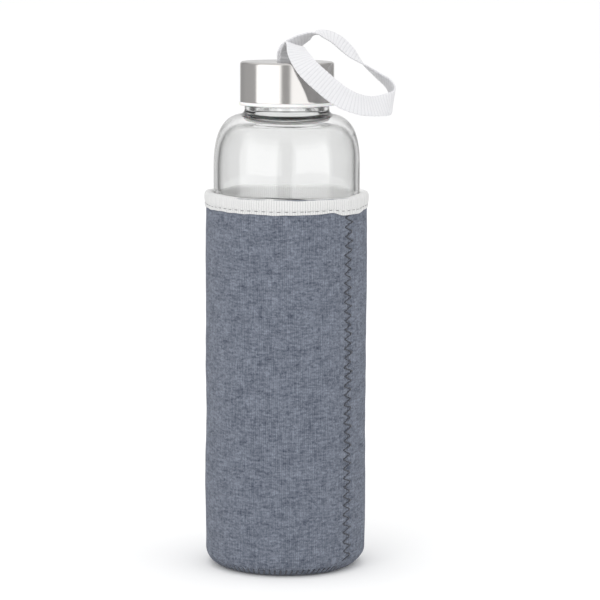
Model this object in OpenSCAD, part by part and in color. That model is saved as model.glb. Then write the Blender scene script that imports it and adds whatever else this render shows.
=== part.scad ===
// Glass drinking bottle in a knit-faced neoprene sleeve, with a steel screw cap and a wrist strap.
// The origin is the centre of the sleeve's base, +Z runs up the bottle, and the front is -Y.

/* [Bottle] */
// Outer diameter of the glass body
bottle_d = 63; // [60:0.5:66]
// Thickness of the glass wall
glass_t = 2.2; // [1.8:0.1:2.6]
// Height of the glass bottle, from its foot to its mouth
bottle_h = 207.8; // [190:0.1:225]
// Diameter of the bore through the neck
bore_d = 28.4; // [26:0.2:29]

/* [Cap] */
// Outer diameter of the steel cap
cap_d = 40.4; // [40.4:0.1:41]
// Height of the steel cap
cap_h = 17.2; // [16.5:0.1:18]
// Thickness of the steel sheet
sheet_t = 0.5; // [0.4:0.1:0.6]
// Rise of the screw thread in one turn
thread_pitch = 4; // [4:0.1:4.4]
// Turns of thread on the neck and in the cap
thread_turns = 1.5; // [1:0.25:1.5]

/* [Sleeve] */
// Height of the sleeve with its bound top edge
sleeve_h = 163; // [150:1:168]
// Thickness of the knit facing
facing_t = 0.55; // [0.4:0.05:0.7]
// Thickness of the foam rubber
foam_t = 1.9; // [1.5:0.1:2.5]
// Thickness of the knit lining
lining_t = 0.45; // [0.3:0.05:0.6]
// Outer radius of the rounded bottom corner
corner_r = 7.5; // [6:0.5:8]
// Height of the folded binding tape
binding_h = 6.6; // [5:0.2:8]
// Bearing of the side seam, turned from the front towards +X
seam_bearing = 50; // [0:5:180]

/* [Strap] */
// Width of the ribbon
ribbon_w = 9.4; // [8:0.2:10]
// Thickness of the ribbon
ribbon_t = 0.8; // [0.6:0.1:0.8]

/* [Hidden] */
$fn = 96;

// Sleeve: the inside stands off the glass by fit_gap, and three layers build outwards from it.
// seam_gap keeps two pieces that are only sewn or pressed together from touching.
fit_gap = 0.3;
bottle_r = bottle_d / 2;
inside_r = bottle_r + fit_gap;
lining_r = inside_r + lining_t;
foam_r = lining_r + foam_t;
facing_r = foam_r + facing_t;
wall_t = lining_t + foam_t + facing_t;
seam_r = facing_r - corner_r;
seam_gap = 0.05;
binding_t = 0.4;
binding_r = facing_r + seam_gap + binding_t;
binding_round = 1.5;
binding_bottom = sleeve_h - binding_h;
layers_top = sleeve_h - 1;

// Bottle: it stands on the base lining
foot_z = wall_t;
mouth_z = foot_z + bottle_h;
bead_top = mouth_z - 10.9;
bead_r = 18.2;
neck_r = 16.6;
bore_r = bore_d / 2;
heel_r = 6;
punt_r = 20;
punt_h = 2;
floor_t = 5;
shoulder_h = 24.1;
shoulder_z = bead_top - 27.8;
shoulder_in = 17;
shoulder_power = 2.65;
fillet_r = 2.2;

// Cap: stacked upwards from the mouth of the bottle
seal_t = 1.2;
plate_t = 1.5;
plate_z = mouth_z + seal_t;
cap_r = cap_d / 2;
cap_top = plate_z + plate_t + 5.1;
cap_bottom = cap_top - cap_h;
rim_r = cap_r + 0.5;
rim_bottom = bead_top + 0.1;
liner_r = cap_r - sheet_t - seam_gap;
skirt_bore_r = 18.3;
edge_r = 1.2;

// Thread: both helices share one pitch, and the one in the cap runs half a pitch below
thread_steps = 24;
male_start = bead_top + 2.4;
male_tip_r = 18;
female_tip_r = 17;
female_turn = 200;

// Strap: one slot in the cap's top, turned by slot_angle, and a pin below it that holds the loop
slot_angle = 32;
slot_l = 10.8;
slot_w = 2.9;
pin_r = 1;
pin_l = 12;
pin_z = cap_top - 3.1;
ply_gap = 0.2;
wrap_r = pin_r + seam_gap;

// Centre line of the ribbon, with heights above the cap's top, and the direction of its width.
// It runs from the front ply, past the cap's front, round the far bend and back to the rear ply.
strap_route = [
    [[0.5, -0.55, 1.3], [0.85, 0.53, 0]],
    [[0.7, -0.7, 3.2], [0.85, 0.53, 0]],
    [[1.4, -2.1, 5.4], [0.85, 0.52, -0.05]],
    [[2.9, -5.2, 7.1], [0.76, 0.6, -0.26]],
    [[3.9, -10.2, 6.6], [0.8, 0.54, -0.2]],
    [[4.9, -16.6, 3.5], [0.9, 0.34, 0.15]],
    [[8.4, -22.4, -1.6], [0.8, 0.2, 0.5]],
    [[15, -24.6, -7.7], [0.7, 0.1, 0.7]],
    [[22, -24.5, -13.2], [0.6, 0.25, 0.76]],
    [[29.5, -22.5, -16.7], [0.35, 0.5, 0.8]],
    [[37, -17, -18], [0.05, 0.6, 0.8]],
    [[43.5, -10.5, -17.3], [0.1, 0.3, 0.9]],
    [[45.5, -3, -14.9], [0.15, -0.3, 0.95]],
    [[43.6, 3, -10], [0.1, -0.85, 0.45]],
    [[38.2, 6.5, -5.5], [0.12, -0.97, 0.2]],
    [[32.5, 8, -1.1], [0, -1, 0]],
    [[27, 8, 4.1], [-0.3, -0.88, -0.3]],
    [[20.5, 7.5, 9.5], [-0.3, -0.9, -0.35]],
    [[14, 6, 11.7], [-0.1, -0.96, -0.2]],
    [[9.2, 4.8, 10.4], [-0.2, -0.93, 0.3]],
    [[5.5, 3.8, 8.7], [-0.42, -0.84, 0.3]],
    [[2.5, 2.4, 6.7], [-0.6, -0.76, 0.15]],
    [[0.4, 1.1, 4.6], [-0.76, -0.64, 0.05]],
    [[-0.3, 0.55, 2.9], [-0.85, -0.53, 0]],
    [[-0.3, 0.5, 1.3], [-0.85, -0.53, 0]]
];
route_steps = 4;

// Stitching
thread_r = 0.27;
stitch_lift = 0.08;
zigzag_w = 4.7;
zigzag_step = 2;
side_seam_bottom = 8;
side_stitches = 74;
base_stitches = 84;
base_stitch_low = 25;
base_stitch_high = 52;
side_stitch_gap = 0.06;
base_slant = 0.35;
binding_stitch_count = 67;
binding_stitch_l = 2;
bartack_count = 6;
bartack_step = 1.3;
bartack_r = 0.15;

// Solid between a ring of four corners at each of a list of stations, closed at both ends
module swept_bar(rings) {
    n = len(rings);
    points = [for (ring = rings) each ring];
    sides = [
        for (i = [0:n - 2], k = [0:3])
            each [[4 * i + k, 4 * i + (k + 1) % 4, 4 * (i + 1) + (k + 1) % 4],
                  [4 * i + k, 4 * (i + 1) + (k + 1) % 4, 4 * (i + 1) + k]]
    ];
    last = 4 * (n - 1);
    ends = [[3, 2, 1], [3, 1, 0], [last, last + 1, last + 2], [last, last + 2, last + 3]];
    polyhedron(points, concat(sides, ends));
}

// Helical ridge from root_r to tip_r: its section narrows towards the tip and fades at both ends
module thread_ridge(root_r, tip_r, start_z, start_angle, root_half, tip_half) {
    steps = thread_turns * thread_steps;
    rings = [
        for (i = [0:steps])
            let (
                a = start_angle + 360 * i / thread_steps,
                z = start_z + thread_pitch * i / thread_steps,
                grow = max(0.25, min(1, i / 4, (steps - i) / 4)),
                tip = root_r + (tip_r - root_r) * grow,
                c = cos(a),
                s = sin(a)
            )
            [[root_r * c, root_r * s, z - root_half], [tip * c, tip * s, z - tip_half * grow],
             [tip * c, tip * s, z + tip_half * grow], [root_r * c, root_r * s, z + root_half]]
    ];
    if (tip_r > root_r)
        swept_bar(rings);
    else
        swept_bar([for (ring = rings) [for (k = [3:-1:0]) ring[k]]]);
}

// Straight stitch of thread between two points
module stitch(a, b) {
    d = b - a;
    l = norm(d);
    translate(a)
        rotate([0, acos(d.z / l), atan2(d.y, d.x)])
            cylinder(r = thread_r, h = l, $fn = 16);
}

// Half outline of a cup: straight sides, a flat base at bottom and a rounded corner
module cup_outline(r, corner, bottom, top) {
    translate([0, bottom])
        square([r - corner, top - bottom]);
    translate([0, bottom + corner])
        square([r, top - bottom - corner]);
    translate([r - corner, bottom + corner])
        intersection() {
            circle(corner);
            translate([0, -corner])
                square(corner);
        }
}

// One layer of the sleeve's wall, from the seam round the base up to top
module wall_layer(outer, inner, top) {
    rotate_extrude()
        difference() {
            cup_outline(outer, outer - seam_r, facing_r - outer, top);
            cup_outline(inner, inner - seam_r, facing_r - inner, top + 1);
            square([seam_r, sleeve_h]);
        }
}

// One layer of the round base, between two heights
module base_layer(bottom, top) {
    translate([0, 0, bottom])
        cylinder(r = seam_r - seam_gap, h = top - bottom);
}

// Quarter of a superellipse, from the side of the body up to the top of the shoulder
function shoulder(radius, inner, base, height, last) = [
    for (k = [0:14])
        let (a = last * k / 14)
        [inner + (radius - inner) * pow(cos(a), 2 / shoulder_power),
         base + height * pow(sin(a), 2 / shoulder_power)]
];

function arc(centre, r, from, to, n) = [
    for (k = [0:n])
        let (a = from + (to - from) * k / n)
        centre + r * [cos(a), sin(a)]
];

module glass_profile() {
    fillet_z = shoulder_z + shoulder_h + 2.05;
    inner_r = bottle_r - glass_t;
    inner_top = shoulder_z + shoulder_h - 2.6;
    outside = concat(
        [for (k = [0:6]) [punt_r * k / 6, foot_z + punt_h * (1 - pow(k / 6, 2))]],
        arc([bottle_r - heel_r, foot_z + heel_r], heel_r, -90, 0, 8),
        shoulder(bottle_r, shoulder_in, shoulder_z, shoulder_h, 82),
        arc([bead_r + fillet_r, fillet_z], fillet_r, 260, 180, 5),
        [[bead_r, bead_top - 0.4], [bead_r - 0.4, bead_top], [neck_r, bead_top]],
        arc([neck_r - 0.8, mouth_z - 0.8], 0.8, 0, 90, 4)
    );
    inside = concat(
        arc([bore_r + 0.8, mouth_z - 0.8], 0.8, 90, 180, 4),
        [[bore_r, inner_top + 2.2], [bore_r + 0.5, inner_top + 0.8]],
        shoulder(inner_r, bore_r + 1.6, shoulder_z, inner_top - shoulder_z, 88)
    );
    turned = [for (k = [len(inside) - 1:-1:7]) inside[k]];
    mouth = [for (k = [0:6]) inside[k]];
    floor_arc = arc([inner_r - heel_r, foot_z + floor_t + heel_r], heel_r, 0, -90, 6);
    polygon(concat(outside, mouth, turned, floor_arc, [[0, foot_z + floor_t]]));
}

module glass_bottle() {
    color([0.86, 0.9, 0.9, 0.45])
        union() {
            rotate_extrude()
                glass_profile();
            thread_ridge(neck_r - 0.4, male_tip_r, male_start, 0, 1.3, 0.6);
        }
}

// Outline of a slot with round ends
module slot_outline(l, w) {
    square([l - w, w], center = true);
    for (side = [-1, 1])
        translate([side * (l - w) / 2, 0])
            circle(w / 2);
}

module cap_shell() {
    inner = cap_r - sheet_t;
    color([0.76, 0.76, 0.75])
        difference() {
            rotate_extrude()
                difference() {
                    translate([0, cap_top + cap_bottom])
                        mirror([0, 1])
                            cup_outline(cap_r, edge_r, cap_bottom, cap_top);
                    translate([0, cap_top - sheet_t + cap_bottom - 1])
                        mirror([0, 1])
                            cup_outline(inner, edge_r - sheet_t, cap_bottom - 1, cap_top - sheet_t);
                }
            translate([0, 0, cap_top - 1])
                rotate(slot_angle)
                    linear_extrude(2)
                        slot_outline(slot_l, slot_w);
        }
}

// Upstand on the liner's plate that holds the pin's ends and keeps the strap's tail clear
module pin_cradle() {
    wall = 1.2;
    well_l = pin_l + 0.4;
    well_w = 5;
    h = pin_z - (plate_z + plate_t);
    translate([0, 0, plate_z + plate_t])
        rotate(slot_angle) {
            for (side = [-1, 1]) {
                translate([-well_l / 2, side * (well_w + wall) / 2 - wall / 2, -0.2])
                    cube([well_l, wall, h + 2.4]);
                translate([side * (pin_l / 2 - 0.3) - 0.3, -well_w / 2, -0.2])
                    cube([0.6, well_w, h - pin_r + 0.2]);
            }
        }
}

module cap_liner() {
    liner_top = cap_top - sheet_t - seam_gap;
    color([0.95, 0.95, 0.94])
        union() {
            rotate_extrude()
                difference() {
                    union() {
                        translate([0, cap_bottom - 1])
                            square([liner_r, liner_top - cap_bottom]);
                        translate([0, liner_top - 1])
                            square([liner_r - 1, 1]);
                        translate([0, rim_bottom])
                            square([rim_r - 0.4, cap_bottom - rim_bottom]);
                        translate([0, rim_bottom + 0.4])
                            square([rim_r, cap_bottom - rim_bottom - 0.4]);
                        translate([rim_r - 0.4, rim_bottom + 0.4])
                            circle(0.4);
                    }
                    translate([0, rim_bottom - 1])
                        square([skirt_bore_r, plate_z - rim_bottom + 1]);
                    translate([0, plate_z + plate_t])
                        square([liner_r - 2.1, cap_top]);
                }
            pin_cradle();
            thread_ridge(skirt_bore_r + 0.5, female_tip_r,
                         male_start - thread_pitch / 2 + thread_pitch * female_turn / 360,
                         female_turn, 1.2, 0.5);
        }
}

module cap_seal() {
    color([0.93, 0.93, 0.9])
        translate([0, 0, mouth_z])
            difference() {
                cylinder(r = 17.8, h = seal_t);
                translate([0, 0, -1])
                    cylinder(r = 12.6, h = seal_t + 2);
            }
}

// Places its children with +X along the slot and the pin's axis on the origin
module at_pin() {
    translate([0, 0, pin_z])
        rotate(slot_angle)
            children();
}

module strap_pin() {
    color([0.7, 0.7, 0.7])
        at_pin()
            rotate([0, 90, 0])
                cylinder(r = pin_r, h = pin_l, center = true);
}

// Ribbon where it passes down through the slot, round the pin and up again
module strap_tail() {
    outer = wrap_r + ribbon_t;
    neck = ply_gap / 2;
    top = cap_top + 0.1 - pin_z;
    front = [[neck, top], [neck + ribbon_t, top], [neck + ribbon_t, 2.2], [outer - 0.1, 0.6]];
    rear = [for (k = [3:-1:0]) [-front[k].x, front[k].y]];
    color([0.97, 0.97, 0.98])
        at_pin()
            rotate([90, 0, 90])
                linear_extrude(ribbon_w, center = true)
                    polygon(concat(front, arc([0, 0], outer, 0, -180, 16), rear,
                                   [[-neck, 1.9], [-wrap_r, 0.5]],
                                   arc([0, 0], wrap_r, 180, 360, 16),
                                   [[wrap_r, 0.5], [neck, 1.9]]));
}

// Short row of stitches that joins the two plies under the slot
module strap_bartack() {
    reach = ribbon_t + ply_gap / 2 + bartack_r;
    color([0.9, 0.9, 0.92])
        at_pin()
            for (k = [0:bartack_count - 1])
                translate([(k - (bartack_count - 1) / 2) * bartack_step, 0, 2.35])
                    rotate([90, 0, 0])
                        cylinder(r = bartack_r, h = 2 * reach, center = true, $fn = 16);
}

// Smooth curve through the points of a list, evaluated between points i and i + 1
function between(p, i, t) =
    let (
        n = len(p),
        b = p[i],
        c = p[i + 1],
        a = i > 0 ? p[i - 1] : 2 * b - c,
        d = i + 2 < n ? p[i + 2] : 2 * c - b
    )
    0.5 * (2 * b + (c - a) * t + (2 * a - 5 * b + 4 * c - d) * t * t
           + (3 * b - a - 3 * c + d) * t * t * t);

function smooth(p) = concat(
    [for (i = [0:len(p) - 2], k = [0:route_steps - 1]) between(p, i, k / route_steps)],
    [p[len(p) - 1]]
);

function unit(v) = v / norm(v);

module wrist_strap() {
    line = smooth([for (r = strap_route) r[0] + [0, 0, cap_top]]);
    across = smooth([for (r = strap_route) r[1]]);
    last = len(line) - 1;
    rings = [
        for (i = [0:last])
            let (
                t = unit(line[min(i + 1, last)] - line[max(i - 1, 0)]),
                w = unit(across[i] - (across[i] * t) * t) * ribbon_w / 2,
                h = unit(cross(t, w)) * ribbon_t / 2
            )
            [line[i] - w - h, line[i] - w + h, line[i] + w + h, line[i] + w - h]
    ];
    color([0.97, 0.97, 0.98])
        swept_bar(rings);
}

module sleeve_facing() {
    color([0.46, 0.5, 0.56])
        wall_layer(facing_r, foam_r, layers_top);
}

module sleeve_foam() {
    color([0.15, 0.15, 0.16])
        wall_layer(foam_r, lining_r, layers_top);
}

module sleeve_lining() {
    color([0.3, 0.32, 0.35])
        wall_layer(lining_r, inside_r, binding_bottom - 0.4);
}

module base_facing() {
    color([0.46, 0.5, 0.56])
        base_layer(0, facing_t);
}

module base_foam() {
    color([0.15, 0.15, 0.16])
        base_layer(facing_t, facing_t + foam_t);
}

module base_lining() {
    color([0.3, 0.32, 0.35])
        base_layer(facing_t + foam_t, wall_t);
}

// Tape folded over the sleeve's top edge, inside and outside
module sleeve_binding() {
    color([0.96, 0.96, 0.95])
        rotate_extrude()
            difference() {
                union() {
                    translate([inside_r, binding_bottom])
                        square([binding_r - inside_r, binding_h - binding_round]);
                    translate([inside_r + binding_round, sleeve_h - binding_round])
                        square([binding_r - inside_r - 2 * binding_round, binding_round]);
                    for (x = [inside_r + binding_round, binding_r - binding_round])
                        translate([x, sleeve_h - binding_round])
                            circle(binding_round);
                }
                translate([lining_r, binding_bottom - 1])
                    square([facing_r + seam_gap - lining_r, layers_top + seam_gap - binding_bottom + 1]);
            }
}

module binding_stitches() {
    r = binding_r + thread_r + 0.02;
    half = binding_stitch_l / 2;
    z = binding_bottom + 1.4;
    color([0.85, 0.85, 0.86])
        for (k = [0:binding_stitch_count - 1])
            rotate(360 * k / binding_stitch_count)
                stitch([r, -half, z], [r, half, z]);
}

module side_seam_thread() {
    r = facing_r + thread_r + stitch_lift;
    half = zigzag_w / 2 / r * 180 / PI;
    function corner(i) =
        let (a = seam_bearing - 90 + (i % 2 == 0 ? -half : half))
        [r * cos(a), r * sin(a), side_seam_bottom + zigzag_step * i];
    color([0.1, 0.11, 0.14])
        for (i = [0:side_stitches - 1])
            let (a = corner(i), b = corner(i + 1))
                stitch(a + (b - a) * side_stitch_gap, b - (b - a) * side_stitch_gap);
}

module base_seam_thread() {
    lift = corner_r + thread_r + stitch_lift;
    function place(i, tilt) =
        let (a = 360 * i / base_stitches, r = seam_r + lift * sin(tilt))
        [r * cos(a), r * sin(a), corner_r - lift * cos(tilt)];
    color([0.1, 0.11, 0.14])
        for (i = [0:base_stitches - 1])
            stitch(place(i, base_stitch_low), place(i + base_slant, base_stitch_high));
}

glass_bottle();
cap_shell();
cap_liner();
cap_seal();
strap_pin();
strap_tail();
strap_bartack();
wrist_strap();
sleeve_facing();
sleeve_foam();
sleeve_lining();
base_facing();
base_foam();
base_lining();
sleeve_binding();
binding_stitches();
side_seam_thread();
base_seam_thread();
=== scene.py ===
import math
import bpy
import numpy as np
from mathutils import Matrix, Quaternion, Vector


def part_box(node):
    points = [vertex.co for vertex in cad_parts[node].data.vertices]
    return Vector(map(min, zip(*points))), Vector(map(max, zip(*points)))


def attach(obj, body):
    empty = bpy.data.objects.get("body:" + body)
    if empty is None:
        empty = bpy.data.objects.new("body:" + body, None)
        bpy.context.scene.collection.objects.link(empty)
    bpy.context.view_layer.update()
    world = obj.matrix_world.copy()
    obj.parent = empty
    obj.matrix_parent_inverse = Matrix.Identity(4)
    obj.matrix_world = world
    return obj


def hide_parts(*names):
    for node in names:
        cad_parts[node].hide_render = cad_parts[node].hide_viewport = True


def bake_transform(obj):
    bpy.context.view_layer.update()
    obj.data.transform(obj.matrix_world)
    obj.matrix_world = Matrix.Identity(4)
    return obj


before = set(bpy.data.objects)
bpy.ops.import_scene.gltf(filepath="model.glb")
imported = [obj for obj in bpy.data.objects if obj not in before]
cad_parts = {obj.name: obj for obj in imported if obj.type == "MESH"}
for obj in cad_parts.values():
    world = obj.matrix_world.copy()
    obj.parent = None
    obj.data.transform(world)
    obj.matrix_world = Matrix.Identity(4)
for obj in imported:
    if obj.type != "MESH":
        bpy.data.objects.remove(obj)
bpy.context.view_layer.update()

mm = 0.001
deg = math.pi / 180

# places that everything else is worked out from, all read from the parts in model.glb
shellLow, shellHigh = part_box("cap_shell")
glassLow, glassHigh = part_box("glass_bottle")
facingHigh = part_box("sleeve_facing")[1]
bindingLow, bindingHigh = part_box("sleeve_binding")
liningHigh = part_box("sleeve_lining")[1]
linerLow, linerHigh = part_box("cap_liner")
sealLow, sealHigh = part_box("cap_seal")
pinLow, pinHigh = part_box("strap_pin")
capTop = shellHigh.z
pinZ = (pinLow.z + pinHigh.z) / 2
facingR = facingHigh.x
bindingR = bindingHigh.x
glassR = glassHigh.x
seamBearing = 50 * deg
slotTurn = 32 * deg
print("frame loaded")


def ringBearings(count, start=0.0):
    # bearings that share a full turn evenly
    return start + np.arange(count) * 2 * math.pi / count


def turned(radius, height, bearing):
    # bearing runs from the front, -Y, towards +X
    return np.stack([radius * np.sin(bearing), -radius * np.cos(bearing),
                     height + 0 * bearing], -1)


def arcPoints(centre, r, start, end, count):
    # points on a circle, from one angle to another in degrees
    a = np.linspace(start, end, count) * deg
    return np.stack([centre[0] + r * np.cos(a), centre[1] + r * np.sin(a)], -1)


def resample(path, step):
    # points along a polyline, no further apart than step, that keep its corners
    out = [path[:1]]
    for a, b in zip(path[:-1], path[1:]):
        n = max(1, int(math.ceil(np.linalg.norm(b - a) / step)))
        t = (np.arange(n) + 1)[:, None] / n
        out.append(a + (b - a) * t)
    return np.concatenate(out)


def lengthAlong(path):
    # distance from the first point to each point, along the polyline
    return np.concatenate([[0], np.cumsum(np.linalg.norm(np.diff(path, axis=0), axis=1))])


def bell(x, width):
    # 1 at zero, falling away on both sides as a Gaussian curve
    return np.exp(-(x / width) ** 2)


def step01(x, low, high):
    # smooth cubic rise from 0 at low to 1 at high
    t = np.clip((x - low) / (high - low), 0, 1)
    return t * t * (3 - 2 * t)


def ripple(bearing, height, around, along, count, seed):
    # sum of slanted cosine waves, each a whole number of times round the axis
    rng = np.random.default_rng(seed)
    total = 0
    for _ in range(count):
        n = rng.integers(1, around + 1)
        k = rng.uniform(-along, along) * 2 * math.pi
        total = total + np.cos(n * bearing + k * height + rng.uniform(0, 6.28))
    return total / math.sqrt(count)


def gridFaces(rows, columns, wrapRows, wrapColumns, shift):
    # one quad for each cell; shift turns the columns where the last row meets the first
    r, c = np.meshgrid(np.arange(rows if wrapRows else rows - 1),
                       np.arange(columns if wrapColumns else columns - 1), indexing="ij")
    back = np.where(r + 1 == rows, shift, 0)
    above = (r + 1) % rows
    right = (c + 1) % columns
    quads = np.stack([r * columns + c, r * columns + right,
                      above * columns + (right + back) % columns,
                      above * columns + (c + back) % columns], -1)
    return quads.reshape(-1, 4), r.ravel(), c.ravel()


def addMesh(name, points, faces, uv=None):
    mesh = bpy.data.meshes.new(name)
    mesh.from_pydata(points.tolist(), [], faces)
    if uv is not None:
        layer = mesh.uv_layers.new(name="flow")
        layer.data.foreach_set("uv", np.ascontiguousarray(uv, np.float32).ravel())
    mesh.shade_smooth()
    piece = bpy.data.objects.new(name, mesh)
    bpy.context.scene.collection.objects.link(piece)
    return piece


def gridPiece(name, grid, u, v, wrapRows=False, wrapColumns=True, shift=0, poles=False):
    # u has one more value than the grid has columns, and v one more than it has rows
    rows, columns = grid.shape[:2]
    quads, r, c = gridFaces(rows, columns, wrapRows, wrapColumns, shift)
    uv = np.stack([np.stack([u[c], u[c + 1], u[c + 1], u[c]], -1),
                   np.stack([v[r], v[r], v[r + 1], v[r + 1]], -1)], -1).reshape(-1, 2)
    points = grid.reshape(-1, 3)
    faces = quads.tolist()
    if poles:
        first, last = len(points), len(points) + 1
        points = np.vstack([points, grid[0].mean(0), grid[-1].mean(0)])
        top = (rows - 1) * columns
        ring = np.arange(columns)
        after = (ring + 1) % columns
        faces += np.stack([0 * ring + first, after, ring], -1).tolist()
        faces += np.stack([top + ring, top + after, 0 * ring + last], -1).tolist()
        mid = (u[:-1] + u[1:]) / 2
        uv = np.vstack([
            uv,
            np.stack([np.stack([mid, u[1:], u[:-1]], -1), np.full((columns, 3), v[0])],
                     -1).reshape(-1, 2),
            np.stack([np.stack([u[:-1], u[1:], mid], -1), np.full((columns, 3), v[-1])],
                     -1).reshape(-1, 2)])
    return addMesh(name, points, faces, uv)


def lathe(name, profile, bearing, outer, radial=None, poles=False):
    # the profile turned round the axis, with radial added to its radius at each bearing;
    # outer is the radius whose circumference scales the texture's first coordinate
    r, z = profile[:, 0][:, None], profile[:, 1][:, None]
    b = bearing[None, :]
    wide = r + (radial(r, z, b) if radial else 0) + 0 * b
    high = z + 0 * b
    grid = np.stack([wide * np.sin(b), -wide * np.cos(b), high], -1)
    u = np.append(bearing, bearing[0] + 2 * math.pi) * outer
    length = lengthAlong(np.vstack([profile, profile[:1]]))
    return gridPiece(name, grid, u, length, wrapRows=not poles, poles=poles)


def joinRings(rings):
    # tubes side by side: rings is pieces x stations x corners x 3, and both ends are closed
    pieces, stations, corners = rings.shape[:3]
    quads, r, c = gridFaces(stations, corners, False, True, 0)
    ends = [list(range(corners))[::-1], list(range((stations - 1) * corners, stations * corners))]
    faces = []
    for k in range(pieces):
        base = k * stations * corners
        faces += (quads + base).tolist() + [[i + base for i in e] for e in ends]
    around = np.stack([c, c + 1, c + 1, c], -1) / corners
    along = np.stack([r, r, r + 1, r + 1], -1) / (stations - 1)
    uv = np.stack([around, along], -1).reshape(-1, 2)
    uv = np.vstack([uv, np.full((2 * corners, 2), 0.5)])
    return rings.reshape(-1, 3), faces, np.tile(uv, (pieces, 1))


def tubes(name, lines, radius, corners=8):
    # lines is pieces x stations x 3, and radius is one value for each station
    along = np.gradient(lines, axis=1)
    along /= np.linalg.norm(along, axis=-1)[..., None]
    axis = lines * np.array([1, 1, 0])
    axis /= np.linalg.norm(axis, axis=-1)[..., None]
    side = np.cross(along, axis)
    side /= np.linalg.norm(side, axis=-1)[..., None]
    out = np.cross(side, along)
    a = np.arange(corners) * 2 * math.pi / corners
    r = radius[None, :, None, None]
    rings = (lines[:, :, None, :] + r * (np.cos(a)[:, None] * out[:, :, None, :]
                                         + np.sin(a)[:, None] * side[:, :, None, :]))
    points, faces, uv = joinRings(rings)
    return addMesh(name, points, faces, uv)


def put(tree, kind, inputs=None, **settings):
    node = tree.nodes.new(kind)
    for key, value in settings.items():
        setattr(node, key, value)
    for key, value in (inputs or {}).items():
        if isinstance(value, bpy.types.NodeSocket):
            tree.links.new(value, node.inputs[key])
        else:
            node.inputs[key].default_value = value
    return node


def calc(tree, operation, *values):
    node = put(tree, "ShaderNodeMath", dict(enumerate(values)), operation=operation)
    return node.outputs[0]


def remap(tree, value, low, high, newLow=0.0, newHigh=1.0):
    node = put(tree, "ShaderNodeMapRange", {"Value": value, "From Min": low, "From Max": high,
                                            "To Min": newLow, "To Max": newHigh})
    return node.outputs[0]


def blendColour(tree, factor, a, b):
    node = put(tree, "ShaderNodeMix", {0: factor, 6: a, 7: b}, data_type="RGBA")
    return node.outputs[2]


def scaled(tree, vector, scale):
    return put(tree, "ShaderNodeVectorMath", {0: vector, 1: scale}, operation="MULTIPLY").outputs[0]


def noise(tree, vector, scale, detail=2.0, rough=0.5):
    node = put(tree, "ShaderNodeTexNoise", {"Vector": vector, "Scale": scale, "Detail": detail,
                                            "Roughness": rough})
    return node.outputs[0]


def newGroup(name, inputs, outputs):
    tree = bpy.data.node_groups.new(name, "ShaderNodeTree")
    for label, kind in inputs:
        tree.interface.new_socket(name=label, in_out="INPUT", socket_type="NodeSocket" + kind)
    for label, kind in outputs:
        tree.interface.new_socket(name=label, in_out="OUTPUT", socket_type="NodeSocket" + kind)
    return tree, tree.nodes.new("NodeGroupInput"), tree.nodes.new("NodeGroupOutput")


def useGroup(tree, group, inputs):
    node = tree.nodes.new("ShaderNodeGroup")
    node.node_tree = group
    for key, value in inputs.items():
        if isinstance(value, bpy.types.NodeSocket):
            tree.links.new(value, node.inputs[key])
        else:
            node.inputs[key].default_value = value
    return node.outputs


def newMaterial(name):
    material = bpy.data.materials.new(name)
    material.use_nodes = True
    tree = material.node_tree
    return material, tree, tree.nodes["Principled BSDF"]


def setSockets(tree, shader, values):
    for key, value in values.items():
        if isinstance(value, bpy.types.NodeSocket):
            tree.links.new(value, shader.inputs[key])
        else:
            shader.inputs[key].default_value = value


def bumpNormal(tree, height, distance, strength=1.0):
    node = put(tree, "ShaderNodeBump", {"Height": height, "Distance": distance,
                                        "Strength": strength})
    return node.outputs[0]


def flowVector(tree):
    return put(tree, "ShaderNodeUVMap", uv_map="flow").outputs[0]


def crossVector(tree):
    # the same coordinates with their first two parts swapped
    split = put(tree, "ShaderNodeSeparateXYZ", {0: flowVector(tree)})
    return put(tree, "ShaderNodeCombineXYZ", {0: split.outputs[1], 1: split.outputs[0]}).outputs[0]


def objectVector(tree):
    return put(tree, "ShaderNodeTexCoord").outputs["Object"]


# knit: each wale is a column of two slanted legs, and the loops repeat up it once a course
def makeKnitGroup():
    tree, source, sink = newGroup(
        "knitLoops", [("Vector", "Vector"), ("Wale", "Float"), ("Course", "Float")],
        [("Height", "Float"), ("Gap", "Float")])
    split = put(tree, "ShaderNodeSeparateXYZ", {0: source.outputs["Vector"]})
    wobble = noise(tree, source.outputs["Vector"], 260.0, 1.0)
    x = calc(tree, "DIVIDE", split.outputs[0], source.outputs["Wale"])
    x = calc(tree, "ADD", x, calc(tree, "MULTIPLY", wobble, 0.25))
    y = calc(tree, "DIVIDE", split.outputs[1], source.outputs["Course"])
    side = calc(tree, "ABSOLUTE", calc(tree, "SUBTRACT", calc(tree, "FRACT", x), 0.5))
    leg = calc(tree, "ABSOLUTE", calc(tree, "SINE", calc(tree, "MULTIPLY", side, 2 * math.pi)))
    slant = calc(tree, "MULTIPLY", calc(tree, "ADD", y, calc(tree, "MULTIPLY", side, 1.6)),
                 2 * math.pi)
    loop = remap(tree, calc(tree, "COSINE", slant), -1.0, 1.0, 0.35, 1.0)
    height = calc(tree, "MULTIPLY", leg, loop)
    # Gap marks the gaps between loops and wales, where the knit materials paint shade
    gap = calc(tree, "MAXIMUM", remap(tree, height, 0.35, 0.0), remap(tree, side, 0.3, 0.5))
    tree.links.new(height, sink.inputs["Height"])
    tree.links.new(gap, sink.inputs["Gap"])
    return tree


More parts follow.
